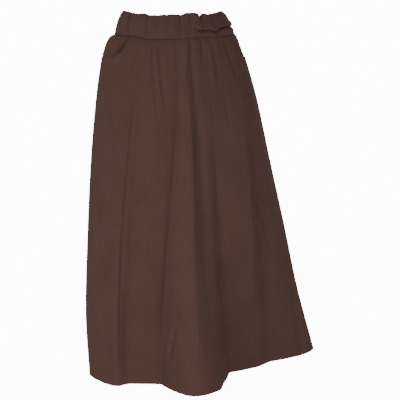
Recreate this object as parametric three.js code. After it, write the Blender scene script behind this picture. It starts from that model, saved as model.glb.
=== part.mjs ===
// Long, flared skirt with a gathered elastic waistband, hollow and in the form it takes when worn.
// Millimetres, +Z up, front towards -Y, the wearer's left towards +X. The origin is the middle of
// the waist opening at half the height of the band. Angles go round from the centre front, in
// degrees, positive to the wearer's left. "Part" is the share of a panel's length below the seam.
import * as THREE from 'three';

const BAND_HEIGHT = 56;
const PANEL_LENGTH = 872;
const BAND_WALL = 3;
const PANEL_WALL = 1.5;
const FACING_WALL = 1.2;
const SEAM_GAP = 0.3;
const SEAM_Z = -BAND_HEIGHT / 2;

const HEM_DEPTH = 20;
const HEM_TURN = 1;

const SIDE_SEAM = 90;
const MOUTH_START = 53;
const MOUTH_BEND = 60;
const MOUTH_DROP = 0.074;
const MOUTH_SQUARENESS = 3;
const FACING_START = 45;
const FACING_HOLLOW = { right: 14, left: 5, angle: 57, halfWidth: 7, part: 0.036, halfHeight: 0.026 };

// The gathers are a wave round the waist that drifts and swells, and fades out down the skirt. On
// the band they are shallower at half height.
const GATHERS = 36;
const GATHER_DEPTH = 1.5;
const GATHER_START = 0.02;
const GATHER_END = 0.3;
const GATHER_DRIFT = [{ share: 0.9, count: 3, shift: 1 }, { share: 0.6, count: 7, shift: 0.4 }];
const GATHER_MEAN = 0.7;
const GATHER_SWELL = [{ share: 0.3, count: 5, shift: 0.7 }, { share: 0.2, count: 11, shift: 2 }];
const BAND_GATHER_LOSS = 0.4;

const CLOTH = { color: 0x4e3832, roughness: 0.85, metalness: 0 };
const BAND_CLOTH = { color: 0x523b34, roughness: 0.85, metalness: 0 };

// How far the skirt stands from the axis, before its folds.
const SECTIONS = [
  { part: 0.00, left: 151, right: 151, front: 109, back: 113 },
  { part: 0.009, left: 158.5, right: 157, front: 112.5, back: 117 },
  { part: 0.018, left: 164.5, right: 161, front: 115.5, back: 120.5 },
  { part: 0.03, left: 170.5, right: 164.5, front: 118.5, back: 125 },
  { part: 0.08, left: 184, right: 180, front: 128, back: 140 },
  { part: 0.20, left: 200, right: 210, front: 138, back: 165 },
  { part: 0.40, left: 216, right: 248, front: 132, back: 180 },
  { part: 0.60, left: 224, right: 285, front: 118, back: 190 },
  { part: 0.80, left: 228, right: 318, front: 105, back: 195 },
  { part: 1.00, left: 219, right: 354, front: 98, back: 200 },
];

// How far the band stands from the axis, by share of its height.
const BAND_SECTIONS = [
  { part: 0.00, left: 151, right: 151, front: 109, back: 113 },
  { part: 0.11, left: 149.5, right: 149, front: 108, back: 112 },
  { part: 0.29, left: 147.5, right: 146, front: 105.5, back: 109.5 },
  { part: 0.47, left: 145, right: 141, front: 103, back: 107 },
  { part: 0.64, left: 142, right: 136, front: 100, back: 103 },
  { part: 0.82, left: 137, right: 131, front: 96, back: 98 },
  { part: 1.00, left: 128, right: 121, front: 92, back: 93 },
];

// Ridges and valleys in order round the skirt: the angle at the seam, half way down and at the hem,
// how far each stands out at a quarter, half, three quarters and all of the length, and how sharply
// the cloth is creased down to half way and at the hem, from 0 for round to 1.
const FOLDS = [
  { name: 'left side valley', seam: -112, middle: -114, hem: -116, out: [-2, -5, -8, -10], crease: [0, 0] },
  { name: 'left side ridge', seam: -84, middle: -86, hem: -92, out: [1, 4, 8, 10], crease: [0, 0] },
  { name: 'left hip valley', seam: -62, middle: -62, hem: -66, out: [0, 0, 0, -2], crease: [0, 0] },
  { name: 'left front ridge', seam: -42, middle: -46.5, hem: -48, out: [5, 9, 12, 14], crease: [0.8, 0.5] },
  { name: 'left front valley', seam: -34, middle: -37, hem: -40, out: [-3, -4, -3, 3], crease: [0.3, 0.2] },
  { name: 'left front rise', seam: -20, middle: -22, hem: -27, out: [1, 2, 2, 7], crease: [0, 0] },
  { name: 'centre left valley', seam: -6, middle: -11, hem: -17, out: [-4, -5, -4, 9], crease: [1, 1] },
  { name: 'centre ridge', seam: 0, middle: 2, hem: 2, out: [7, 22, 57, 110], crease: [0.4, 0] },
  { name: 'centre right valley', seam: 2.5, middle: 6.5, hem: 10, out: [-4, 3, 36, 90], crease: [0.8, 0] },
  { name: 'centre right ridge', seam: 9, middle: 12, hem: 14, out: [1, 5, 20, 48], crease: [0.2, 0] },
  { name: 'right front valley', seam: 17, middle: 17, hem: 20.5, out: [-2, -6, -10, -14], crease: [1, 0.8] },
  { name: 'right front ridge', seam: 44, middle: 39, hem: 34, out: [8, 8, -1, -13], crease: [0.8, 0] },
  { name: 'right middle valley', seam: 56, middle: 48, hem: 44, out: [-7, -11, -14, -22], crease: [0.5, 0.4] },
  { name: 'right middle ridge', seam: 66, middle: 60, hem: 61, out: [0, 2, 0, -6], crease: [0, 0] },
  { name: 'right side valley', seam: 74, middle: 70, hem: 72, out: [-1, 0, 0, 0], crease: [0, 0] },
  { name: 'right side ridge', seam: 88, middle: 86, hem: 87, out: [1, 4, 10, 24], crease: [0, 0] },
  { name: 'right back valley', seam: 112, middle: 116, hem: 122, out: [-3, -8, -14, -22], crease: [0.5, 0.4] },
  { name: 'right back ridge', seam: 136, middle: 140, hem: 146, out: [4, 12, 20, 28], crease: [0, 0] },
  { name: 'back right valley', seam: 158, middle: 162, hem: 168, out: [-4, -6, -8, -8], crease: [0.7, 0.5] },
  { name: 'back ridge', seam: 180, middle: 184, hem: 190, out: [5, 14, 26, 44], crease: [0, 0] },
  { name: 'back left valley', seam: 204, middle: 208, hem: 212, out: [-4, -6, -8, -8], crease: [0.7, 0.5] },
  { name: 'left back ridge', seam: 226, middle: 228, hem: 230, out: [4, 12, 22, 32], crease: [0, 0] },
];

// How far the waist lies below its height at the centre front. It rises over the hip at the wearer's
// right and dips round the back.
const WAIST_LINE = [
  { angle: -180, dip: 16 },
  { angle: -140, dip: 16 },
  { angle: -97, dip: -3.5 },
  { angle: -78, dip: -6.5 },
  { angle: -58, dip: -5.5 },
  { angle: -45, dip: -4.5 },
  { angle: -36, dip: 0 },
  { angle: -4, dip: 0 },
  { angle: 3, dip: -2 },
  { angle: 60, dip: -1 },
  { angle: 90, dip: 0 },
  { angle: 140, dip: 16 },
  { angle: 180, dip: 16 },
];

// Where the hem hangs lower than the even length.
const HEM_DROPS = [
  { name: 'wearer\'s right front', angle: -62, halfWidth: 18, drop: 11 },
  { name: 'front fold', angle: -1, halfWidth: 12, drop: 6 },
  { name: 'wearer\'s left', angle: 76, halfWidth: 14, drop: 7 },
];

// Where the top edge of the band rises above its height or dips below it, besides a small wave that
// runs a few degrees beside the gathers. It fades out below the given share of the band's height.
const RUFFLE_WAVE = 0.8;
const RUFFLE_SHIFT = 4;
const RUFFLE_FADE = 0.8;
const RUFFLES = [
  { name: 'corner at the wearer\'s right', angle: -95, halfWidth: 9, rise: 2.6 },
  { name: 'dip at the wearer\'s right front', angle: -59, halfWidth: 14, rise: -2.2 },
  { name: 'rise at the middle', angle: -14, halfWidth: 12, rise: 2.2 },
  { name: 'rise beside the notch', angle: 8, halfWidth: 9, rise: 3.6 },
  { name: 'notch at the wearer\'s left front', angle: 20.5, halfWidth: 3.5, rise: -4 },
  { name: 'dip at the wearer\'s left front', angle: 34, halfWidth: 8, rise: -1.4 },
  { name: 'corner at the wearer\'s left', angle: 57, halfWidth: 9, rise: 1.6 },
  { name: 'dip at the back', angle: 150, halfWidth: 9, rise: -1.8 },
  { name: 'rise at the back', angle: 214, halfWidth: 10, rise: 1.6 },
];

// Line of the fold that sags across the band at the wearer's left front, by share of the height.
const SAG_LINE = [
  { angle: 0, height: 0.46 },
  { angle: 11, height: 0.43 },
  { angle: 16, height: 0.36 },
  { angle: 26, height: 0.37 },
  { angle: 34, height: 0.29 },
  { angle: 40, height: 0.39 },
  { angle: 50, height: 0.45 },
  { angle: 70, height: 0.42 },
  { angle: 90, height: 0.38 },
];
// The fold stands out in a lip above its line and dips along it, by millimetres and by shares of the
// height. It grows between the first two angles, thins to a half between the next two and ends.
const SAG_LIP = { depth: 3.4, above: 0.12, halfHeight: 0.1 };
const SAG_DIP = { depth: 1.4, above: -0.02, halfHeight: 0.07 };
const SAG_GROWS = [1, 14];
const SAG_THINS = [50, 70];
const SAG_ENDS = [76, 96];

// Columns of the grid: closer together where the folds are tighter.
const FRONT_SPANS = [
  { from: -SIDE_SEAM, to: -MOUTH_BEND, columns: 10 },
  { from: -MOUTH_BEND, to: -MOUTH_START, columns: 5 },
  { from: -MOUTH_START, to: -30, columns: 9 },
  { from: -30, to: 30, columns: 34 },
  { from: 30, to: MOUTH_START, columns: 9 },
  { from: MOUTH_START, to: MOUTH_BEND, columns: 5 },
  { from: MOUTH_BEND, to: SIDE_SEAM, columns: 10 },
];
const BACK_SPANS = [{ from: SIDE_SEAM, to: 360 - SIDE_SEAM, columns: 54 }];
const HEM_ROW = 1 - HEM_DEPTH / PANEL_LENGTH;
const HEM_STEP = 0.003;
const MOUTH_ROWS = [0, 0.012, 0.03, 0.055, 0.085, 0.12];
const PANEL_ROWS = [...MOUTH_ROWS, 0.17, 0.23, 0.31, 0.4, 0.5, 0.6, 0.7, 0.8, 0.9,
  HEM_ROW - HEM_STEP, HEM_ROW + HEM_STEP, 1];
const BAND_ROWS = [0, 0.12, 0.24, 0.33, 0.41, 0.49, 0.58, 0.72, 0.86, 1];

const clamp = (value, low, high) => Math.min(Math.max(value, low), high);
const radians = (degrees) => degrees * Math.PI / 180;
const smooth = (from, to, value) => {
  const u = clamp((value - from) / (to - from), 0, 1);
  return u * u * (3 - 2 * u);
};
const bell = (distance, halfWidth) => Math.exp(-((distance / halfWidth) ** 2));

// Angle from one direction to another, between -180 and 180.
function turn(from, to) {
  return ((to - from) % 360 + 540) % 360 - 180;
}

const SHARPNESS = 1.5;

// Value at t of a smooth line through points (xs, ys) that never overshoots them. Where creases
// gives a point more than 0, the line comes to it and leaves it at an angle instead of rounding it.
function through(xs, ys, t, creases = []) {
  const last = xs.length - 1;
  const slope = (i) => (ys[i + 1] - ys[i]) / (xs[i + 1] - xs[i]);
  const tangent = (i, side) => {
    if (i === 0) return slope(0);
    if (i === last) return slope(last - 1);
    const before = slope(i - 1);
    const after = slope(i);
    const round = before * after <= 0 ? 0 : 2 * before * after / (before + after);
    const sharp = SHARPNESS * (side < 0 ? before : after);
    return round + (creases[i] ?? 0) * (sharp - round);
  };
  let k = 0;
  while (k < last - 1 && t >= xs[k + 1]) k += 1;
  const step = xs[k + 1] - xs[k];
  const u = (t - xs[k]) / step;
  return (2 * u ** 3 - 3 * u ** 2 + 1) * ys[k] + (u ** 3 - 2 * u ** 2 + u) * step * tangent(k, 1)
    + (3 * u ** 2 - 2 * u ** 3) * ys[k + 1] + (u ** 3 - u ** 2) * step * tangent(k + 1, -1);
}

// Point on the oval at one section, and the level direction out of it.
function oval(sections, angle, part) {
  const parts = sections.map((row) => row.part);
  const reach = (column) => through(parts, sections.map((row) => row[column]), part);
  const sine = Math.sin(radians(angle));
  const cosine = Math.cos(radians(angle));
  const side = reach(sine > 0 ? 'right' : 'left');
  const depth = reach(cosine > 0 ? 'front' : 'back');
  const out = new THREE.Vector2(sine / side, -cosine / depth).normalize();
  return { x: side * sine, y: -depth * cosine, out };
}

// How far the ridges and valleys move the cloth out.
function foldOut(angle, part) {
  const ring = [
    { ...FOLDS[FOLDS.length - 1], lap: -360 },
    ...FOLDS.map((fold) => ({ ...fold, lap: 0 })),
    { ...FOLDS[0], lap: 360 },
    { ...FOLDS[1], lap: 360 },
  ];
  const lineOf = ({ seam, middle, hem, lap }) => lap + through([0, 0.5, 1], [seam, middle, hem], part);
  const angles = ring.map(lineOf);
  const outs = ring.map(({ out }) => through([0, 0.25, 0.5, 0.75, 1], [0, ...out], part));
  const creases = ring.map(({ crease: [upper, hem] }) => through([0, 0.5, 1], [upper, upper, hem], part));
  const first = angles[1];
  return through(angles, outs, first + ((angle - first) % 360 + 360) % 360, creases);
}

// Uneven wave of the gathers round the waist, about -1 to 1.
function gatherWave(angle) {
  const a = radians(angle);
  const waves = (rows) => rows.reduce((sum, row) => sum + row.share * Math.sin(row.count * a + row.shift), 0);
  return (GATHER_MEAN + waves(GATHER_SWELL)) * Math.cos(GATHERS * a + waves(GATHER_DRIFT));
}

// How far the waist lies below its height at the centre front.
function waistDip(angle) {
  const angles = WAIST_LINE.map((point) => point.angle);
  const dips = WAIST_LINE.map((point) => point.dip);
  return through(angles, dips, turn(0, angle));
}

function hemDrop(angle) {
  return HEM_DROPS.reduce((sum, row) => sum + row.drop * bell(turn(row.angle, angle), row.halfWidth), 0);
}

// Point of the skirt's outer face. Every thread keeps its cut length from the seam down.
function skirtPoint(angle, part) {
  const top = oval(SECTIONS, angle, 0);
  const place = oval(SECTIONS, angle, part);
  const fade = 1 - smooth(GATHER_START, GATHER_END, part);
  const out = foldOut(angle, part) + GATHER_DEPTH * fade * gatherWave(angle);
  const x = place.x + place.out.x * out;
  const y = place.y + place.out.y * out;
  const flare = (x - top.x - top.out.x * GATHER_DEPTH * gatherWave(angle)) ** 2
    + (y - top.y - top.out.y * GATHER_DEPTH * gatherWave(angle)) ** 2;
  const fall = Math.sqrt(Math.max((part * PANEL_LENGTH) ** 2 - flare, 0));
  const uneven = waistDip(angle) * (1 - part) + hemDrop(angle) * part ** 3;
  return new THREE.Vector3(x, y, SEAM_Z - SEAM_GAP - fall - uneven);
}

// Direction out of the cloth: level where it meets the band, along the seam's plane at a side seam.
const ANGLE_STEP = 0.5;
const PART_STEP = 0.006;
function skirtNormal(angle, part, atSideSeam) {
  const along = skirtPoint(angle + ANGLE_STEP, part).sub(skirtPoint(angle - ANGLE_STEP, part));
  const above = Math.max(part - PART_STEP, 0);
  const down = skirtPoint(angle, Math.min(above + 2 * PART_STEP, 1)).sub(skirtPoint(angle, above));
  const normal = down.cross(along).normalize();
  if (part === 0) normal.z = 0;
  if (atSideSeam) normal.y = 0;
  return normal.normalize();
}

function columnAngles(spans) {
  const angles = [spans[0].from];
  for (const { from, to, columns } of spans) {
    for (let i = 1; i <= columns; i += 1) angles.push(from + (to - from) * i / columns);
  }
  return angles;
}

// Share of the length at which a pocket's mouth crosses a column: a quarter of a squared oval.
function mouthPart(angle) {
  const u = clamp((Math.abs(angle) - MOUTH_START) / (SIDE_SEAM - MOUTH_START), 0, 1);
  return MOUTH_DROP * (1 - (1 - u) ** MOUTH_SQUARENESS) ** (1 / MOUTH_SQUARENESS);
}

// Rows of the front panel in one column: squeezed together below a pocket's mouth.
function frontRows(angle) {
  const top = mouthPart(angle);
  const end = MOUTH_ROWS[MOUTH_ROWS.length - 1];
  return PANEL_ROWS.map((row) => (row < end ? top + (end - top) * row / end : row));
}

// Rows of a pocket's facing: three down to the mouth, then the panel's own rows behind it.
function facingRows(angle) {
  const mouth = mouthPart(angle);
  return [0, mouth / 3, mouth * 2 / 3, ...frontRows(angle).slice(0, MOUTH_ROWS.length)];
}

// Closed solid between an outer and an inner grid of points. Rows that fall together in a column
// share their points, and the faces between them are left out.
function closedSheet(outer, inner, isRing) {
  const columns = outer.length;
  const rows = outer[0].length;
  const points = [];
  const number = (grid) => grid.map((column) => {
    const ids = [];
    column.forEach((point, row) => {
      const same = row > 0 && point.distanceTo(column[row - 1]) < 1e-6;
      if (!same) points.push(point);
      ids.push(same ? ids[row - 1] : points.length - 1);
    });
    return ids;
  });
  const outerIds = number(outer);
  const innerIds = number(inner);
  const index = [];
  const face = (a, b, c) => {
    if (a !== b && b !== c && c !== a) index.push(a, b, c);
  };
  const quad = (a, b, c, d) => {
    face(a, b, c);
    face(a, c, d);
  };
  const spans = isRing ? columns : columns - 1;
  for (let i = 0; i < spans; i += 1) {
    const j = (i + 1) % columns;
    for (let k = 0; k < rows - 1; k += 1) {
      quad(outerIds[i][k], outerIds[i][k + 1], outerIds[j][k + 1], outerIds[j][k]);
      quad(innerIds[i][k], innerIds[j][k], innerIds[j][k + 1], innerIds[i][k + 1]);
    }
    quad(outerIds[i][0], outerIds[j][0], innerIds[j][0], innerIds[i][0]);
    quad(outerIds[i][rows - 1], innerIds[i][rows - 1], innerIds[j][rows - 1], outerIds[j][rows - 1]);
  }
  if (!isRing) {
    const end = columns - 1;
    for (let k = 0; k < rows - 1; k += 1) {
      quad(outerIds[0][k], innerIds[0][k], innerIds[0][k + 1], outerIds[0][k + 1]);
      quad(outerIds[end][k], outerIds[end][k + 1], innerIds[end][k + 1], innerIds[end][k]);
    }
  }
  const geometry = new THREE.BufferGeometry();
  geometry.setAttribute('position', new THREE.Float32BufferAttribute(points.flatMap((p) => p.toArray()), 3));
  geometry.setIndex(index);
  geometry.computeVertexNormals();
  return geometry;
}

// Grid of points at one depth below the skirt's outer face, stopping half a gap short of a side seam.
function skirtGrid(angles, rowsOf, depthOf) {
  return angles.map((angle, column) => {
    const atSideSeam = Math.abs(Math.cos(radians(angle))) < 1e-9;
    const neighbour = angles[column === 0 ? 1 : column - 1];
    const seamSide = Math.sign(Math.cos(radians(neighbour)));
    return rowsOf(angle).map((part) => {
      const normal = skirtNormal(angle, part, atSideSeam);
      const point = skirtPoint(angle, part).addScaledVector(normal, -depthOf(part, angle));
      if (atSideSeam) point.y = -seamSide * SEAM_GAP / 2;
      return point;
    });
  });
}

// Height of the band's top edge above its even height.
function ruffle(angle) {
  const rises = RUFFLES.map((row) => row.rise * bell(turn(row.angle, angle), row.halfWidth));
  return RUFFLE_WAVE * gatherWave(angle + RUFFLE_SHIFT) + rises.reduce((sum, rise) => sum + rise, 0);
}

// Thickness the sagging fold adds to the band: a lip above its line and a dip along it.
function sag(angle, height) {
  const place = turn(0, angle);
  const strength = smooth(...SAG_GROWS, place) * (1 - smooth(...SAG_THINS, place) / 2)
    * (1 - smooth(...SAG_ENDS, place));
  if (strength === 0) return 0;
  const angles = SAG_LINE.map((point) => point.angle);
  const heights = SAG_LINE.map((point) => point.height);
  const line = through(angles, heights, clamp(place, 0, 90));
  const moved = ({ depth, above, halfHeight }) => depth * bell(height - line - above, halfHeight);
  return strength * (moved(SAG_LIP) - moved(SAG_DIP));
}

function bandGrid(angles, depth) {
  return angles.map((angle) => BAND_ROWS.map((row) => {
    const height = 1 - row;
    const place = oval(BAND_SECTIONS, angle, height);
    const share = 1 - BAND_GATHER_LOSS * Math.sin(Math.PI * height);
    const gathers = GATHER_DEPTH * share * gatherWave(angle);
    const fold = depth === 0 ? sag(angle, height) : 0;
    const out = gathers + fold - depth;
    const rise = ruffle(angle) * smooth(RUFFLE_FADE, 1, height) - waistDip(angle);
    const z = SEAM_Z + BAND_HEIGHT * height + rise;
    return new THREE.Vector3(place.x + place.out.x * out, place.y + place.out.y * out, z);
  }));
}

const panelDepth = (part) => PANEL_WALL + (part > HEM_ROW ? HEM_TURN : 0);

// A facing lies close behind the panel and sinks beside the front edge of its pocket's mouth.
function facingDepth(part, angle) {
  const { right, left, angle: middle, halfWidth, part: height, halfHeight } = FACING_HOLLOW;
  const hollow = bell(Math.abs(angle) - middle, halfWidth) * bell(part - height, halfHeight);
  return PANEL_WALL + SEAM_GAP + (angle < 0 ? right : left) * hollow;
}

function panel(spans, rowsOf) {
  const angles = columnAngles(spans);
  return closedSheet(skirtGrid(angles, rowsOf, () => 0), skirtGrid(angles, rowsOf, panelDepth), false);
}

function facing(sideSign) {
  const angles = columnAngles(FRONT_SPANS).filter((angle) => sideSign * angle >= FACING_START);
  return closedSheet(
    skirtGrid(angles, facingRows, facingDepth),
    skirtGrid(angles, facingRows, (part, angle) => facingDepth(part, angle) + FACING_WALL),
    false,
  );
}

function waistband() {
  const angles = columnAngles([...FRONT_SPANS, ...BACK_SPANS]).slice(0, -1);
  return closedSheet(bandGrid(angles, 0), bandGrid(angles, BAND_WALL), true);
}

function piece(name, geometry, look) {
  const mesh = new THREE.Mesh(geometry, new THREE.MeshStandardMaterial(look));
  mesh.name = name;
  return mesh;
}

const skirt = new THREE.Group();
skirt.name = 'maxi_skirt';
skirt.add(
  piece('waistband', waistband(), BAND_CLOTH),
  piece('front_panel', panel(FRONT_SPANS, frontRows), CLOTH),
  piece('back_panel', panel(BACK_SPANS, () => PANEL_ROWS), CLOTH),
  piece('pocket_facing_right', facing(-1), CLOTH),
  piece('pocket_facing_left', facing(1), CLOTH),
);

export default skirt;
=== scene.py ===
import math
from collections import namedtuple

import bpy
import numpy as np
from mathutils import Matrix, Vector


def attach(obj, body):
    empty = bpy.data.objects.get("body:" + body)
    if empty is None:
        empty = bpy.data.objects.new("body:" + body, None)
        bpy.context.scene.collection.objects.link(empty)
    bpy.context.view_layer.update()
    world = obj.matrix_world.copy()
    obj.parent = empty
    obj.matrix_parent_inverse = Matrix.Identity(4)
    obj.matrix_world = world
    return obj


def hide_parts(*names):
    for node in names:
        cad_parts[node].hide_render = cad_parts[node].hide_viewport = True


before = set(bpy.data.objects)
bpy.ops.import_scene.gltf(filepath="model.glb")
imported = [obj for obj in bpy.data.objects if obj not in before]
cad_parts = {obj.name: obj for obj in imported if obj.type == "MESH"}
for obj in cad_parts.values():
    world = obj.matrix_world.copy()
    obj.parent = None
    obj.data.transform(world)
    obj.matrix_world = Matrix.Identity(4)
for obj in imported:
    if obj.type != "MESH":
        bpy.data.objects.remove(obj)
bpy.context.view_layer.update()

# Long, flared skirt with a gathered elastic waistband, as it hangs when worn. Tables are in
# millimetres and degrees. Angles go round from the centre front, positive to the wearer's left,
# and "part" is the share of a panel's length below the waist seam. Meshes are in metres.
MM = 0.001
BAND_HEIGHT = 56
SEAM_Z = -BAND_HEIGHT / 2
SEAM_GAP = 0.3
PANEL_LENGTH = 872
SIDE_SEAM = 90
HEM_DEPTH = 20
HEM_LINE = 1 - HEM_DEPTH / PANEL_LENGTH

CLOTH = 0.9
BAND_LAYER = 0.8
BAND_THICK = 3.0
BAND_STEP = 0.6
BAND_OVERLAP = 3
BAND_CUT = 0.90

MOUTH_START = 53
MOUTH_DROP = 0.074
MOUTH_SQUARENESS = 3
MOUTH_GAPE_RIGHT = 3.4
MOUTH_GAPE_LEFT = 0.3
FACING_START = 45
FACING_DEPTH = 0.12

GATHERS = 36
GATHER_DEPTH = 1.5

Section = namedtuple("Section", "part left right front back")
SECTIONS = [
    Section(0.00, 151, 151, 109, 113),
    Section(0.009, 158.5, 157, 112.5, 117),
    Section(0.018, 164.5, 161, 115.5, 120.5),
    Section(0.03, 170.5, 164.5, 118.5, 125),
    Section(0.08, 184, 180, 128, 140),
    Section(0.20, 200, 210, 138, 165),
    Section(0.40, 216, 248, 132, 180),
    Section(0.60, 224, 285, 118, 190),
    Section(0.80, 228, 318, 105, 195),
    Section(1.00, 219, 354, 98, 200),
]
BAND_SECTIONS = [
    Section(0.00, 151, 151, 109, 113),
    Section(0.11, 149.5, 149, 108, 112),
    Section(0.29, 147.5, 146, 105.5, 109.5),
    Section(0.47, 145, 141, 103, 107),
    Section(0.64, 142, 136, 100, 103),
    Section(0.82, 137, 131, 96, 98),
    Section(1.00, 128, 121, 92, 93),
]

# Ridges and valleys in order round the skirt: the angle at the seam, half way down and at the hem,
# how far each stands out at a quarter, half, three quarters and all of the length, and how sharply
# the cloth is creased down to half way and at the hem, from 0 for round to 1.
Fold = namedtuple("Fold", "name seam middle hem out crease")
FOLDS = [
    Fold("left side valley", -112, -114, -116, (-2, -5, -8, -10), (0, 0)),
    Fold("left side ridge", -84, -86, -92, (1, 4, 8, 10), (0, 0)),
    Fold("left hip valley", -62, -62, -66, (0, 0, 0, -2), (0, 0)),
    Fold("left front ridge", -42, -46.5, -48, (5, 9, 12, 14), (0.8, 0.5)),
    Fold("left front valley", -34, -37, -40, (-3, -4, -3, 3), (0.3, 0.2)),
    Fold("left front rise", -20, -22, -27, (1, 2, 2, 7), (0, 0)),
    Fold("centre left valley", -6, -11, -17, (-4, -5, -4, 9), (1, 1)),
    Fold("centre ridge", 0, 2, 2, (7, 22, 57, 110), (0.4, 0)),
    Fold("centre right valley", 2.5, 6.5, 10, (-4, 3, 36, 90), (0.8, 0)),
    Fold("centre right ridge", 9, 12, 14, (1, 5, 20, 48), (0.2, 0)),
    Fold("right front valley", 17, 17, 20.5, (-2, -6, -10, -14), (1, 0.8)),
    Fold("right front ridge", 44, 39, 34, (8, 8, -1, -13), (0.8, 0)),
    Fold("right middle valley", 56, 48, 44, (-7, -11, -14, -22), (0.5, 0.4)),
    Fold("right middle ridge", 66, 60, 61, (0, 2, 0, -6), (0, 0)),
    Fold("right side valley", 74, 70, 72, (-1, 0, 0, 0), (0, 0)),
    Fold("right side ridge", 88, 86, 87, (1, 4, 10, 24), (0, 0)),
    Fold("right back valley", 112, 116, 122, (-3, -8, -14, -22), (0.5, 0.4)),
    Fold("right back ridge", 136, 140, 146, (4, 12, 20, 28), (0, 0)),
    Fold("back right valley", 158, 162, 168, (-4, -6, -8, -8), (0.7, 0.5)),
    Fold("back ridge", 180, 184, 190, (5, 14, 26, 44), (0, 0)),
    Fold("back left valley", 204, 208, 212, (-4, -6, -8, -8), (0.7, 0.5)),
    Fold("left back ridge", 226, 228, 230, (4, 12, 22, 32), (0, 0)),
]

# How far the waist lies below its height at the centre front. It rises over the hip at the wearer's
# right and dips round the back.
WaistPoint = namedtuple("WaistPoint", "angle dip")
WAIST_LINE = [
    WaistPoint(-180, 16),
    WaistPoint(-140, 16),
    WaistPoint(-97, -3.5),
    WaistPoint(-78, -6.5),
    WaistPoint(-58, -5.5),
    WaistPoint(-45, -4.5),
    WaistPoint(-36, 0),
    WaistPoint(-4, 0),
    WaistPoint(3, -2),
    WaistPoint(60, -1),
    WaistPoint(90, 0),
    WaistPoint(140, 16),
    WaistPoint(180, 16),
]

# Where the hem hangs lower than the even length.
HemDrop = namedtuple("HemDrop", "name angle half_width drop")
HEM_DROPS = [
    HemDrop("wearer's right front", -62, 18, 11),
    HemDrop("front fold", -1, 12, 6),
    HemDrop("wearer's left", 76, 14, 7),
]

# How deep the gathers are round the waist, as a share of their full depth.
Gathering = namedtuple("Gathering", "angle share")
GATHERING = [
    Gathering(-110, 0.15),
    Gathering(-60, 0.2),
    Gathering(-20, 0.35),
    Gathering(20, 0.55),
    Gathering(60, 0.4),
    Gathering(95, 0.3),
    Gathering(150, 0.6),
    Gathering(200, 0.6),
    Gathering(250, 0.15),
]

# Creases laid over the folds: the angle and part where each starts and ends, how far its line bows
# sideways in degrees, how far it stands out (troughs are negative), its half width, and how much
# broader it is on its side towards the wearer's left (narrower there if negative).
Crease = namedtuple("Crease", "name start top end bottom bow out half_width lean")
CREASES = [
    Crease("line in the centre left valley", -6, 0.12, -16, 0.9, -0.8, -1.3, 3, -0.4),
    Crease("line right of the centre ridge", 0, 0.07, 9.5, 0.75, -0.5, -1.5, 3, 0.5),
    Crease("line in the right front valley", 17, 0.36, 20.5, 0.93, -0.5, -1.6, 3, 0.3),
    Crease("line from the hip down the right", 49, 0.03, 42, 0.64, -1.6, -2.8, 6, 0.3),
    Crease("slanting line below the left hip", 45.5, 0.42, 56, 0.7, -0.8, -3.4, 4.5, -0.4),
    Crease("line inside the left front ridge", -39, 0.12, -45.5, 0.95, -1.5, -2.0, 3.6, 0.3),
    Crease("thin ridge at the wearer's right front", -26, 0.005, -18, 0.2, -0.5, 2.4, 3, 0),
    Crease("trough outside it", -29, 0.005, -21, 0.24, -0.5, -2.4, 3, 0),
    Crease("trough inside it", -23, 0.005, -15, 0.22, -0.5, -2.2, 3, 0),
    Crease("light gather at the middle", 2, 0.0, -4, 0.2, -1, 2.2, 3, 0),
    Crease("dark gather beside it", 3.5, 0.0, 0, 0.12, -0.5, -3.0, 2.6, 0),
    Crease("gather left of the middle", -9, 0.0, -8, 0.09, 0, -2.0, 3, 0),
    Crease("short gather right of the middle", 14, 0.0, 13, 0.08, 0, -2.6, 2.6, 0),
    Crease("raised gather", 20.5, 0.01, 20, 0.13, 0, 2.2, 3, 0),
    Crease("trough beside the raised gather", 25, 0.02, 23, 0.14, 0, -2.4, 3, 0.3),
    Crease("lower gather", 28, 0.13, 28, 0.27, 0, -1.6, 4, 0),
    Crease("curved gather towards the hip", 38.5, 0.005, 45, 0.17, -1.8, -4.4, 3.2, 0.3),
    Crease("gather at the front of the hip", 32, 0.0, 33, 0.07, 0, -2.2, 3, 0),
    Crease("dent under the pocket's mouth", -55, 0.03, -58, 0.13, 0, -1.6, 6, 0),
    Crease("crease across the front fold", -9, 0.82, -13, 0.92, 0, -4.2, 4.5, 0.3),
    Crease("dent at the right knee", -70, 0.55, -64, 0.72, 1, -1.4, 9, 0),
    Crease("line at the wearer's left back", 118, 0.05, 121, 0.5, 1, -2.2, 5, 0.3),
    Crease("slanting line behind the left hip", 128, 0.42, 134, 0.7, 0.5, -2.4, 4, 0.3),
    Crease("short gather at the back", 150, 0.0, 153, 0.2, 0, -1.8, 3.5, 0),
    Crease("line in the back right valley", 161, 0.11, 167, 0.94, 0.8, -1.8, 3.2, 0.5),
    Crease("thin ridge at the back", 173, 0.005, 169, 0.18, 0, 1.5, 3.5, 0),
    Crease("trough at the middle of the back", 182, 0.01, 186, 0.32, 0.5, -1.8, 4, 0),
    Crease("crease across the back fold", 180, 0.8, 175, 0.9, 0, -2.2, 4.5, 0.3),
    Crease("raised gather at the back", 195, 0.005, 198, 0.17, 0, 1.4, 3.5, 0),
    Crease("line in the back left valley", 205, 0.1, 211, 0.9, -0.6, -1.7, 3.2, -0.5),
    Crease("short gather behind the right hip", 222, 0.0, 219, 0.24, 0, -1.8, 3.5, 0),
    Crease("slanting line behind the right knee", 241, 0.5, 236, 0.78, 0, -2.2, 4, -0.3),
    Crease("line at the wearer's right back", 250, 0.04, 246, 0.4, 0.8, -1.8, 5, 0),
]

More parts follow.
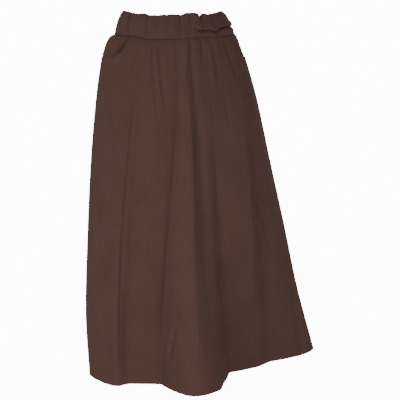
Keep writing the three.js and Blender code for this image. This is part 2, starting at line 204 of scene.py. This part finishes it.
# Tucks that the elastic pulls into the band: the angle at its top edge and at its seam, how deep
# and wide each is, and how far it notches the top edge.
Tuck = namedtuple("Tuck", "top bottom deep half_width notch")
TUCKS = [
    Tuck(-80, -74, 2.8, 3, 1.0),
    Tuck(-67, -60, 8.0, 2.4, 2.2),
    Tuck(-53, -51, 2.3, 2.5, 1.4),
    Tuck(-41, -35.5, 5.6, 2.6, 2.4),
    Tuck(-29, -27, 1.8, 2.4, 0.8),
    Tuck(-18, -16, 2.8, 2.6, 1.0),
    Tuck(-3.5, -4, 4.1, 2.4, 1.8),
    Tuck(7, 6, 3.0, 2.4, 0.6),
    Tuck(20.5, 19, 5.5, 2.6, 5.6),
    Tuck(33, 32, 2.3, 2.6, 1.0),
    Tuck(45, 44, 3.2, 2.6, 1.6),
    Tuck(72, 70, 3.7, 3, 1.8),
    Tuck(88, 87, 2.8, 3, 1.2),
    Tuck(104, 106, 5.1, 2.8, 2.2),
    Tuck(121, 122, 2.8, 2.6, 1.0),
    Tuck(135, 138, 5.5, 2.6, 2.6),
    Tuck(152, 153, 2.8, 2.6, 1.2),
    Tuck(166, 164, 4.6, 2.6, 1.6),
    Tuck(181, 182, 3.2, 2.4, 2.4),
    Tuck(197, 196, 5.5, 2.8, 1.4),
    Tuck(212, 214, 2.8, 2.6, 1.0),
    Tuck(226, 225, 5.1, 2.8, 2.4),
    Tuck(243, 241, 3.2, 2.6, 1.0),
    Tuck(256, 255, 4.1, 2.8, 1.8),
    Tuck(270, 272, 2.3, 2.8, 0.6),
]

# Line of the fold that sags across the band at the wearer's left front, by share of its height, and
# how far the cloth under it is drawn in.
SagPoint = namedtuple("SagPoint", "angle height draw_in")
SAG_LINE = [
    SagPoint(0, 0.46, 0),
    SagPoint(11, 0.43, 1.5),
    SagPoint(16, 0.36, 4.5),
    SagPoint(26, 0.37, 4.5),
    SagPoint(34, 0.29, 5.0),
    SagPoint(40, 0.39, 10.0),
    SagPoint(50, 0.45, 10.5),
    SagPoint(70, 0.42, 7.0),
    SagPoint(90, 0.38, 2.0),
]
SAG_LIP = 4.6
SAG_DROP = 6.5

# Where the top edge of the band rises above its height or dips below it.
Ruffle = namedtuple("Ruffle", "name angle half_width rise")
RUFFLES = [
    Ruffle("corner at the wearer's right", -95, 9, 2.6),
    Ruffle("dip at the wearer's right front", -59, 14, -2.2),
    Ruffle("rise at the middle", -14, 12, 2.2),
    Ruffle("rise beside the notch", 8, 9, 3.6),
    Ruffle("dip at the wearer's left front", 34, 8, -1.4),
    Ruffle("corner at the wearer's left", 57, 9, 1.6),
    Ruffle("dip at the back", 150, 9, -1.8),
    Ruffle("rise at the back", 214, 10, 1.6),
]


def smooth(start, end, value):
    u = np.clip((value - start) / (end - start), 0, 1)
    return u * u * (3 - 2 * u)


def bell(distance, half_width):
    return np.exp(-((distance / half_width) ** 2))


def turn(start, end):
    """Angle from one direction to another, between -180 and 180."""
    return (end - start + 180) % 360 - 180


def through(xs, ys, t, creases=None):
    """Value at t of a smooth line through points that never overshoots them. Where creases gives a
    point more than 0, the line comes to it and leaves it at an angle instead of rounding it."""
    last = len(xs) - 1
    creases = creases or [0] * (last + 1)
    slopes = [(ys[i + 1] - ys[i]) / (xs[i + 1] - xs[i]) for i in range(last)]

    def tangent(i, side):
        if i == 0:
            return slopes[0]
        if i == last:
            return slopes[last - 1]
        before, after = slopes[i - 1], slopes[i]
        alike = before * after > 0
        rounded = np.where(alike, 2 * before * after / np.where(alike, before + after, 1), 0)
        return rounded + creases[i] * (1.5 * (before if side < 0 else after) - rounded)

    value = np.zeros(np.broadcast(t, xs[0]).shape)
    for k in range(last):
        step = xs[k + 1] - xs[k]
        u = (t - xs[k]) / step
        piece = (
            (2 * u ** 3 - 3 * u ** 2 + 1) * ys[k]
            + (u ** 3 - 2 * u ** 2 + u) * step * tangent(k, 1)
            + (3 * u ** 2 - 2 * u ** 3) * ys[k + 1]
            + (u ** 3 - u ** 2) * step * tangent(k + 1, -1)
        )
        here = ((t >= xs[k]) | (k == 0)) & ((t < xs[k + 1]) | (k == last - 1))
        value = np.where(here, piece, value)
    return value


def oval(sections, angle, part):
    """Point on the oval at one section, and the level direction out of it."""
    parts = [row.part for row in sections]
    left, right, front, back = (
        through(parts, [getattr(row, side) for row in sections], part)
        for side in ("left", "right", "front", "back")
    )
    sine, cosine = np.sin(np.radians(angle)), np.cos(np.radians(angle))
    side = np.where(sine > 0, right, left)
    depth = np.where(cosine > 0, front, back)
    out = np.stack([sine / side, -cosine / depth])
    out = out / np.linalg.norm(out, axis=0)
    return side * sine, -depth * cosine, out[0], out[1]


def fold_out(angle, part):
    """How far the ridges and valleys move the cloth out."""
    laps = [(FOLDS[-1], -360)] + [(fold, 0) for fold in FOLDS] + [(FOLDS[0], 360), (FOLDS[1], 360)]
    angles = [lap + through((0, 0.5, 1), (fold.seam, fold.middle, fold.hem), part) for fold, lap in laps]
    outs = [through((0, 0.25, 0.5, 0.75, 1), (0, *fold.out), part) for fold, lap in laps]
    creases = [
        through((0, 0.5, 1), (fold.crease[0], fold.crease[0], fold.crease[1]), part)
        for fold, lap in laps
    ]
    first = angles[1]
    return through(angles, outs, first + (angle - first) % 360, creases)


def gather_wave(angle):
    """Uneven wave of the gathers round the waist, about -1 to 1."""
    a = np.radians(angle)
    uneven = 0.9 * np.sin(3 * a + 1) + 0.6 * np.sin(7 * a + 0.4)
    depth = 0.7 + 0.3 * np.sin(5 * a + 0.7) + 0.2 * np.sin(11 * a + 2)
    return depth * np.cos(GATHERS * a + uneven)


def gather_share(angle):
    around = (angle + 110) % 360 - 110
    return through([row.angle for row in GATHERING], [row.share for row in GATHERING], around)


def waist_dip(angle):
    """How far the waist lies below its height at the centre front."""
    return through([row.angle for row in WAIST_LINE], [row.dip for row in WAIST_LINE], turn(0, angle))


def hem_drop(angle):
    return sum(row.drop * bell(turn(row.angle, angle), row.half_width) for row in HEM_DROPS)


def skirt_form(angle, part):
    """Skirt with its gathers and main folds. Every thread keeps its cut length from the seam down."""
    angle, part = np.broadcast_arrays(np.asarray(angle, float), np.asarray(part, float))
    top_x, top_y, _, _ = oval(SECTIONS, angle, np.zeros_like(part))
    x, y, out_x, out_y = oval(SECTIONS, angle, part)
    reach = 0.16 + 0.09 * np.sin(np.radians(4 * angle + 50)) + 0.05 * np.sin(np.radians(9 * angle))
    fade = 1 - smooth(0.02, 2 * reach, part)
    gathers = GATHER_DEPTH * gather_share(angle) * fade * gather_wave(angle)
    out = fold_out(angle, part)
    x, y = x + out_x * out, y + out_y * out
    flare = (x - top_x) ** 2 + (y - top_y) ** 2
    z = SEAM_Z - SEAM_GAP - np.sqrt(np.maximum((part * PANEL_LENGTH) ** 2 - flare, 0))
    z = z - waist_dip(angle) * (1 - part) - hem_drop(angle) * part ** 3
    return np.stack([x + out_x * gathers, y + out_y * gathers, z], -1)


def skirt_normal(angle, part):
    along = skirt_form(angle + 0.4, part) - skirt_form(angle - 0.4, part)
    above = np.clip(part - 0.003, 0, 0.994)
    down = skirt_form(angle, above + 0.006) - skirt_form(angle, above)
    normal = np.cross(down, along)
    return normal / np.linalg.norm(normal, axis=-1, keepdims=True)


def mm_per_degree(part):
    return 2.3 + 2.6 * part


def crease_out(angle, part):
    """Height of the small creases, and of the faint long waves that run down the cloth."""
    out = np.zeros_like(angle)
    for row in CREASES:
        u = np.clip((part - row.top) / (row.bottom - row.top), 0, 1)
        line = row.start + (row.end - row.start) * u + row.bow * 4 * u * (1 - u)
        across = turn(line, angle) * mm_per_degree(part)
        half_width = row.half_width * (1 + row.lean * np.sign(across))
        fade = smooth(0, 0.12, u) * (1 - smooth(0.7, 1, u))
        out += row.out * fade * np.exp(-np.abs(across / half_width) ** 1.5)
    a = np.radians(angle)
    drift = 0.8 * np.sin(2 * a + 2 * part) + 0.5 * np.sin(5 * a + 1)
    uneven = 0.6 + 0.4 * np.sin(3 * a + 5 * part)
    out += 0.7 * uneven * smooth(0.05, 0.3, part) * np.sin(22 * a + 2 * drift + 1.5 * part)
    return out


def mouth_part(angle):
    """Share of the length at which a pocket's mouth crosses a column: a quarter of a squared oval."""
    u = np.clip((np.abs(angle) - MOUTH_START) / (SIDE_SEAM - MOUTH_START), 0, 1)
    return MOUTH_DROP * (1 - (1 - u) ** MOUTH_SQUARENESS) ** (1 / MOUTH_SQUARENESS)


def mouth_distance(angle, part):
    """Rough distance in millimetres below or beside a pocket's mouth."""
    across = (SIDE_SEAM - np.abs(angle)) / (SIDE_SEAM - MOUTH_START)
    radius = (np.clip(across, 0, None) ** MOUTH_SQUARENESS + (part / MOUTH_DROP) ** MOUTH_SQUARENESS)
    return (radius ** (1 / MOUTH_SQUARENESS) - 1) * 0.5 * (SIDE_SEAM - MOUTH_START) * mm_per_degree(part)


def edge_roll(distance, depth, width):
    """The cloth turns in by depth over the last width before a seam."""
    return -depth * bell(distance, width)


def grid_object(name, points, uvs, is_ring):
    """Mesh from a grid of points [column, row], in millimetres, with its flat position as UV."""
    columns, rows, _ = points.shape
    steps = columns if is_ring else columns - 1
    faces = []
    corners = []
    for i in range(steps):
        j = (i + 1) % columns
        for k in range(rows - 1):
            faces.append((i * rows + k, i * rows + k + 1, j * rows + k + 1, j * rows + k))
            corners.extend(((i, k), (i, k + 1), (i + 1, k + 1), (i + 1, k)))
    mesh = bpy.data.meshes.new(name)
    mesh.from_pydata((points.reshape(-1, 3) * MM).tolist(), [], faces)
    layer = mesh.uv_layers.new(name="cloth")
    corners = np.array(corners)
    layer.data.foreach_set("uv", uvs[corners[:, 0], corners[:, 1]].astype(np.float32).ravel())
    mesh.polygons.foreach_set("use_smooth", [True] * len(mesh.polygons))
    piece = bpy.data.objects.new(name, mesh)
    bpy.context.collection.objects.link(piece)
    return piece


def give_thickness(piece, thickness):
    """Turns the single sheet into cloth with a wall, inwards from the modelled face."""
    for other in bpy.context.selected_objects:
        other.select_set(False)
    bpy.context.view_layer.objects.active = piece
    piece.select_set(True)
    wall = piece.modifiers.new("wall", "SOLIDIFY")
    wall.thickness = thickness * MM
    wall.offset = -1
    wall.use_even_offset = False
    bpy.ops.object.modifier_apply(modifier=wall.name)
    piece.select_set(False)


def spaced(start, end, count, close_at):
    """Columns from start to end, with a few more close to each seam in close_at."""
    angles = list(np.linspace(start, end, count))
    for seam in close_at:
        inward = 1 if seam == start else -1
        angles += [seam + inward * step for step in (0.12, 0.28, 0.5, 0.8)]
    return np.array(sorted(set(np.round(angles, 4))))


def flat_width(part):
    """Width of one panel's cut: 0.50 m at the waist and 0.94 m at the hem."""
    return 0.50 + 0.44 * part


def flat_uv(angle, part, centre):
    u = (angle - centre) / 180 * flat_width(part)
    return np.stack([u, -part * PANEL_LENGTH * MM], -1)


def panel_relief(angle, part, seam_angles):
    """Everything finer than the folds, measured out of the cloth's face."""
    relief = crease_out(angle, part)
    for seam in seam_angles:
        relief += edge_roll(turn(seam, angle) * mm_per_degree(part), 1.0, 1.8)
    tight = 0.55 + 0.3 * np.sin(np.radians(9 * angle + 40)) + 0.25 * np.sin(np.radians(23 * angle))
    relief += edge_roll(part * PANEL_LENGTH, tight, 2.5)
    stitch_row = (part - HEM_LINE) * PANEL_LENGTH
    pucker = 0.25 * np.sin(np.radians(angle) * 150 + 3 * np.sin(np.radians(angle) * 17))
    relief += (-0.55 + pucker * 0.5) * bell(stitch_row, 1.6) + pucker * 0.5 * bell(stitch_row - 9, 7)
    return relief


def panel_rows(count):
    """Rows of a panel: closer together under the waist seam and at the hem's stitching."""
    rows = list(np.linspace(0, 1, count))
    rows += [0.001, 0.0022, 0.004, 0.0085]
    rows += [HEM_LINE + step / PANEL_LENGTH for step in (-3.4, -1.7, 0, 1.7, 3.4)]
    rows += [1 - step / PANEL_LENGTH for step in (0.6, 1.6)]
    return np.array(sorted(set(np.round(rows, 5))))


def make_panel(name, start, end, columns, top_of, centre):
    angles = spaced(start, end, columns, (start, end))
    rows = panel_rows(100)
    squeeze_end = 0.12
    tops = top_of(angles)
    parts = np.where(
        rows[None, :] < squeeze_end,
        tops[:, None] + (squeeze_end - tops[:, None]) * rows[None, :] / squeeze_end,
        rows[None, :],
    )
    angle = np.repeat(angles[:, None], len(rows), 1)
    relief = panel_relief(angle, parts, (start, end))
    if tops.max() > 0:
        near = mouth_distance(angle, parts)
        in_reach = smooth(MOUTH_START - 14, MOUTH_START, np.abs(angle)) * (1 - smooth(0.08, 0.15, parts))
        gape = np.where(angle < 0, MOUTH_GAPE_RIGHT, MOUTH_GAPE_LEFT)
        relief += in_reach * (gape * bell(near, 9) - 0.5 * bell(near - 6.5, 1.4))
    points = skirt_form(angle, parts) + skirt_normal(angle, parts) * relief[..., None]
    piece = grid_object(name, points, flat_uv(angle, parts, centre), False)
    give_thickness(piece, CLOTH)
    return piece


def make_facing(name, side):
    """Piece that shows inside a pocket's mouth. It sinks deepest beside the mouth's front edge."""
    angles = spaced(FACING_START, SIDE_SEAM, 60, (SIDE_SEAM,)) * side
    rows = np.linspace(0, FACING_DEPTH, 40)
    angle, part = np.meshgrid(angles, rows, indexing="ij")
    hollow = bell(np.abs(angle) - 57, 7) * bell(part - 0.036, 0.026) * smooth(0.002, 0.02, part)
    depth = -1.9 - (14.0 if side < 0 else 5.0) * hollow
    depth = depth + 1.2 * (1 - smooth(0, 0.012, part)) * smooth(54, 60, np.abs(angle))
    depth = depth + 0.35 * np.sin(np.radians(angle) * 60 + 20 * part) * smooth(0.0, 0.03, part)
    points = skirt_form(angle, part) + skirt_normal(angle, part) * depth[..., None]
    uvs = flat_uv(angle, part, 0)
    if side < 0:
        points, uvs = points[::-1], uvs[::-1]
    piece = grid_object(name, points, uvs, False)
    give_thickness(piece, CLOTH)
    return piece


def ruffle(angle):
    """Height of the band's top edge above or below its even line."""
    rise = 0.5 * gather_wave(angle + 4)
    for row in RUFFLES:
        rise += row.rise * bell(turn(row.angle, angle), row.half_width)
    for row in TUCKS:
        rise -= row.notch * bell(turn(row.top, angle) * mm_per_degree(0), row.half_width + 1.5)
    return rise


def band_gathers(angle, height):
    """Gathers of the doubled cloth over the elastic: soft waves, and the tucks between bulges."""
    a = np.radians(angle)
    fine = np.cos(71 * a + 1.3 * np.sin(5 * a) + 2.2 * np.sin(2 * a + 1))
    fine = fine * (0.6 + 0.4 * np.sin(9 * a + 1))
    middle = np.sin(np.pi * np.clip(height, 0, 1))
    out = GATHER_DEPTH * gather_share(angle) * (1 - 0.4 * middle) * gather_wave(angle)
    out = out + 0.2 * middle * fine
    for row in TUCKS:
        line = row.bottom + (row.top - row.bottom) * height
        across = turn(line, angle) * mm_per_degree(0)
        shape = 0.55 * bell(across, row.half_width) + 0.45 * bell(across, 4 * row.half_width)
        out = out - row.deep * shape * (0.5 + 0.5 * smooth(0.2, 1, height)) * smooth(0, 0.08, height)
    return out


def make_waistband(name):
    """One strip folded over the elastic: up the outside, over the top edge and down the inside."""
    angles = np.arange(0, 360, BAND_STEP)
    outer = np.linspace(0, 1, 56)
    over = np.linspace(0, 1, 7)[1:-1]
    inner = np.linspace(1, 0, 16)
    heights = np.concatenate([outer, np.ones_like(over), inner])
    depth_in = np.concatenate([np.zeros_like(outer), over, np.ones_like(inner)])
    crown = np.concatenate([np.zeros_like(outer), np.sin(np.pi * over), np.zeros_like(inner)])
    angle, height = np.meshgrid(angles, heights, indexing="ij")
    depth_in, crown = depth_in[None, :], crown[None, :]
    x, y, out_x, out_y = oval(BAND_SECTIONS, angle, height)
    place = np.clip(turn(0, angle), 0, 90)
    knots = [point.angle for point in SAG_LINE]
    line = through(knots, [point.height for point in SAG_LINE], place)
    draw_in = through(knots, [point.draw_in for point in SAG_LINE], place)
    draw_in = draw_in * (1 - smooth(82, 100, turn(0, angle)))
    strength = np.clip(draw_in / 4, 0, 1)
    lip = SAG_LIP * strength * bell(height - line - 0.12, 0.08) * (1 - depth_in)
    lip = lip - draw_in * bell(height - line + 0.035, 0.075)
    drop = SAG_DROP * strength * bell(height - line - 0.07, 0.06) * (1 - depth_in)
    seam_roll = edge_roll(height * BAND_HEIGHT, 0.9, 2.2) * (1 - depth_in)
    layer_gap = BAND_THICK - BAND_LAYER
    out = band_gathers(angle, height) + lip + seam_roll - layer_gap * depth_in
    z = SEAM_Z + BAND_HEIGHT * height - 0.8 + ruffle(angle) * smooth(0.7, 1, height)
    z = z + crown * 0.8 + 0.8 * (1 - smooth(0, 0.2, height)) - drop - waist_dip(angle)
    z = z - BAND_OVERLAP * depth_in * (1 - smooth(0, 0.1, height))
    points = np.stack([x + out_x * out, y + out_y * out, z], -1)
    steps = np.abs(np.diff(heights)) * BAND_HEIGHT + 0.5 * (np.diff(heights) == 0)
    run = np.concatenate([[0], np.cumsum(steps)])
    around = np.arange(len(angles) + 1) * BAND_STEP / 360 * BAND_CUT
    uvs = np.stack(np.broadcast_arrays(around[:, None], run[None, :] * MM), -1)
    piece = grid_object(name, points[:, ::-1], uvs[:, ::-1], True)
    give_thickness(piece, BAND_LAYER)
    return piece


def linear(hex_colour):
    """sRGB hex to the linear colour that shaders take."""
    channels = [int(hex_colour[i:i + 2], 16) / 255 for i in (1, 3, 5)]
    return [c / 12.92 if c <= 0.04045 else ((c + 0.055) / 1.055) ** 2.4 for c in channels] + [1]


def add_node(tree, kind, inputs=None, **settings):
    """Adds a node with its settings. Inputs are values, or (node, output) pairs to link."""
    made = tree.nodes.new(kind)
    for key, value in settings.items():
        setattr(made, key, value)
    for key, value in (inputs or {}).items():
        if isinstance(value, tuple) and isinstance(value[0], bpy.types.Node):
            tree.links.new(value[0].outputs[value[1]], made.inputs[key])
        else:
            made.inputs[key].default_value = value
    return made


# Wave bands repeat every pi / 10 units of their coordinate times their scale.
WAVE_PERIOD = math.pi / 10
THREAD_SPACING = 0.9 * MM


def brushed_cotton(name, colour, lighter):
    """Plain-woven cotton blend with a faint nap: matte, a little lighter where it turns away from
    the eye, with threads that differ slightly in shade. The weave is drawn twice as coarse as it is
    so that it shows close up."""
    material = bpy.data.materials.new(name)
    material.use_nodes = True
    tree = material.node_tree
    tree.nodes.clear()
    flat = add_node(tree, "ShaderNodeUVMap", uv_map="cloth")
    scale = WAVE_PERIOD / THREAD_SPACING
    threads = [
        add_node(
            tree, "ShaderNodeTexWave",
            {"Vector": (flat, "UV"), "Scale": scale, "Distortion": 0.6, "Detail": 1.0, "Detail Scale": 0.4},
            bands_direction=direction,
        )
        for direction in ("X", "Y")
    ]
    weave = add_node(
        tree, "ShaderNodeMath", {0: (threads[0], "Fac"), 1: (threads[1], "Fac")}, operation="MULTIPLY"
    )
    stretch = add_node(
        tree, "ShaderNodeMapping", {"Vector": (flat, "UV"), "Scale": (1 / (6 * MM), 1 / (60 * MM), 1)}
    )
    slub = add_node(
        tree, "ShaderNodeTexNoise",
        {"Vector": (stretch, "Vector"), "Scale": 1.0, "Detail": 3.0, "Roughness": 0.6},
    )
    patches = add_node(
        tree, "ShaderNodeTexNoise", {"Vector": (flat, "UV"), "Scale": 1 / (90 * MM), "Detail": 2.0}
    )
    mixed = add_node(tree, "ShaderNodeMath", {0: (slub, "Fac"), 1: (patches, "Fac")}, operation="ADD")
    ramp = add_node(tree, "ShaderNodeMapRange", {"Value": (mixed, "Value"), "From Min": 0.7, "From Max": 1.3})
    shade = add_node(
        tree, "ShaderNodeMix", {"Factor": (ramp, "Result"), "A": linear(colour), "B": linear(lighter)},
        data_type="RGBA",
    )
    bump = add_node(
        tree, "ShaderNodeBump", {"Height": (weave, "Value"), "Strength": 0.35, "Distance": 0.25 * MM}
    )
    surface = add_node(
        tree, "ShaderNodeBsdfPrincipled",
        {
            "Base Color": (shade, "Result"),
            "Roughness": 0.88,
            "Specular IOR Level": 0.2,
            "Sheen Weight": 0.03,
            "Sheen Roughness": 0.5,
            "Sheen Tint": linear("#c8a79c"),
            "Normal": (bump, "Normal"),
        },
    )
    output = add_node(tree, "ShaderNodeOutputMaterial", {"Surface": (surface, "BSDF")})
    output.is_active_output = True
    return material


FLOOR_HEIGHT = -1.02
FLOOR_GLOW = 12.0


def make_floor():
    """White paper floor. What the camera sees of it is lifted towards white, as a studio's is by
    its background lamps, without lighting the skirt from below."""
    bpy.ops.mesh.primitive_plane_add(size=180, location=(0, 0, FLOOR_HEIGHT))
    floor = bpy.context.object
    floor.name = "floor"
    floor.select_set(False)
    paper = bpy.data.materials.new("white_paper")
    paper.use_nodes = True
    tree = paper.node_tree
    surface = tree.nodes["Principled BSDF"]
    surface.inputs["Base Color"].default_value = linear("#f4f4f4")
    surface.inputs["Roughness"].default_value = 0.9
    surface.inputs["Emission Color"].default_value = linear("#ffffff")
    seen = add_node(tree, "ShaderNodeLightPath")
    glow = add_node(
        tree, "ShaderNodeMath", {0: (seen, "Is Camera Ray"), 1: FLOOR_GLOW}, operation="MULTIPLY"
    )
    tree.links.new(glow.outputs["Value"], surface.inputs["Emission Strength"])
    floor.data.materials.append(paper)


def make_sun(name, azimuth, elevation, strength, softness):
    """A soft distant light that shines from that side and height."""
    light = bpy.data.lights.new(name, "SUN")
    light.energy = strength
    light.angle = math.radians(softness)
    lamp = bpy.data.objects.new(name, light)
    a, e = math.radians(azimuth), math.radians(elevation)
    towards = Vector((math.sin(a) * math.cos(e), -math.cos(a) * math.cos(e), math.sin(e)))
    lamp.rotation_euler = towards.to_track_quat("Z", "Y").to_euler()
    bpy.context.collection.objects.link(lamp)


def make_softbox(name, place, target, size, power):
    """Square lamp that shines from its place towards a target, in metres and watts."""
    light = bpy.data.lights.new(name, "AREA")
    light.size = size
    light.energy = power
    lamp = bpy.data.objects.new(name, light)
    lamp.location = place
    lamp.rotation_euler = (Vector(place) - Vector(target)).to_track_quat("Z", "Y").to_euler()
    lamp.visible_camera = False
    bpy.context.collection.objects.link(lamp)


def make_sky(strength):
    world = bpy.data.worlds.new("studio")
    world.use_nodes = True
    sky = world.node_tree.nodes["Background"]
    sky.inputs["Color"].default_value = (1, 1, 1, 1)
    sky.inputs["Strength"].default_value = strength
    bpy.context.scene.world = world


CAMERA_AZIMUTH = -15
CAMERA_ELEVATION = 13
CAMERA_DISTANCE = 3.3
CAMERA_LENS = 116.7
VIEW_CENTRE = Vector((0, 0, -0.4475))
VIEW_SHIFT = 0.0623


def make_camera():
    a, e = math.radians(CAMERA_AZIMUTH), math.radians(CAMERA_ELEVATION)
    back = Vector((math.sin(a) * math.cos(e), -math.cos(a) * math.cos(e), math.sin(e)))
    right = Vector((math.cos(a), math.sin(a), 0))
    lens = bpy.data.cameras.new("camera")
    lens.lens = CAMERA_LENS
    lens.sensor_width = 36
    lens.clip_end = 100
    camera = bpy.data.objects.new("camera", lens)
    camera.location = VIEW_CENTRE + right * VIEW_SHIFT + back * CAMERA_DISTANCE
    camera.rotation_euler = back.to_track_quat("Z", "Y").to_euler()
    bpy.context.collection.objects.link(camera)
    bpy.context.scene.camera = camera


def whole_top(angles):
    return np.zeros_like(angles)


def dress(piece, node, material):
    """Finishes a piece: its material, the CAD node it stands for and the body it rides on."""
    piece.data.materials.append(material)
    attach(piece, "root")
    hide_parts(node)


make_camera()
skirt_cloth = brushed_cotton("brown_brushed_cotton", "#4e3630", "#533a34")
# The band is the same cloth as the skirt, but its copy is painted a shade darker: painted shade standing in
# for the shade that falls on the band, not a different cloth.
band_cloth_painted_shade = brushed_cotton("brown_brushed_cotton_band_painted_shade", "#4d3630", "#513a35")

front = make_panel("front", -SIDE_SEAM, SIDE_SEAM, 420, mouth_part, 0)
dress(front, "front_panel", skirt_cloth)

back = make_panel("back", SIDE_SEAM, 360 - SIDE_SEAM, 380, whole_top, 180)
dress(back, "back_panel", skirt_cloth)

for side, word in ((-1, "right"), (1, "left")):
    facing = make_facing("facing_" + word, side)
    dress(facing, "pocket_facing_" + word, skirt_cloth)

band = make_waistband("band")
dress(band, "waistband", band_cloth_painted_shade)

make_floor()
make_sky(0.545)
make_sun("key", -60, 5, 1.15, 20)
make_sun("fill", -4, 3, 0.45, 50)
make_sun("back", 165, 25, 0.7, 20)
make_softbox("low lamp", (-0.25, -1.6, -0.95), (0, 0, -0.85), 0.7, 10.5)
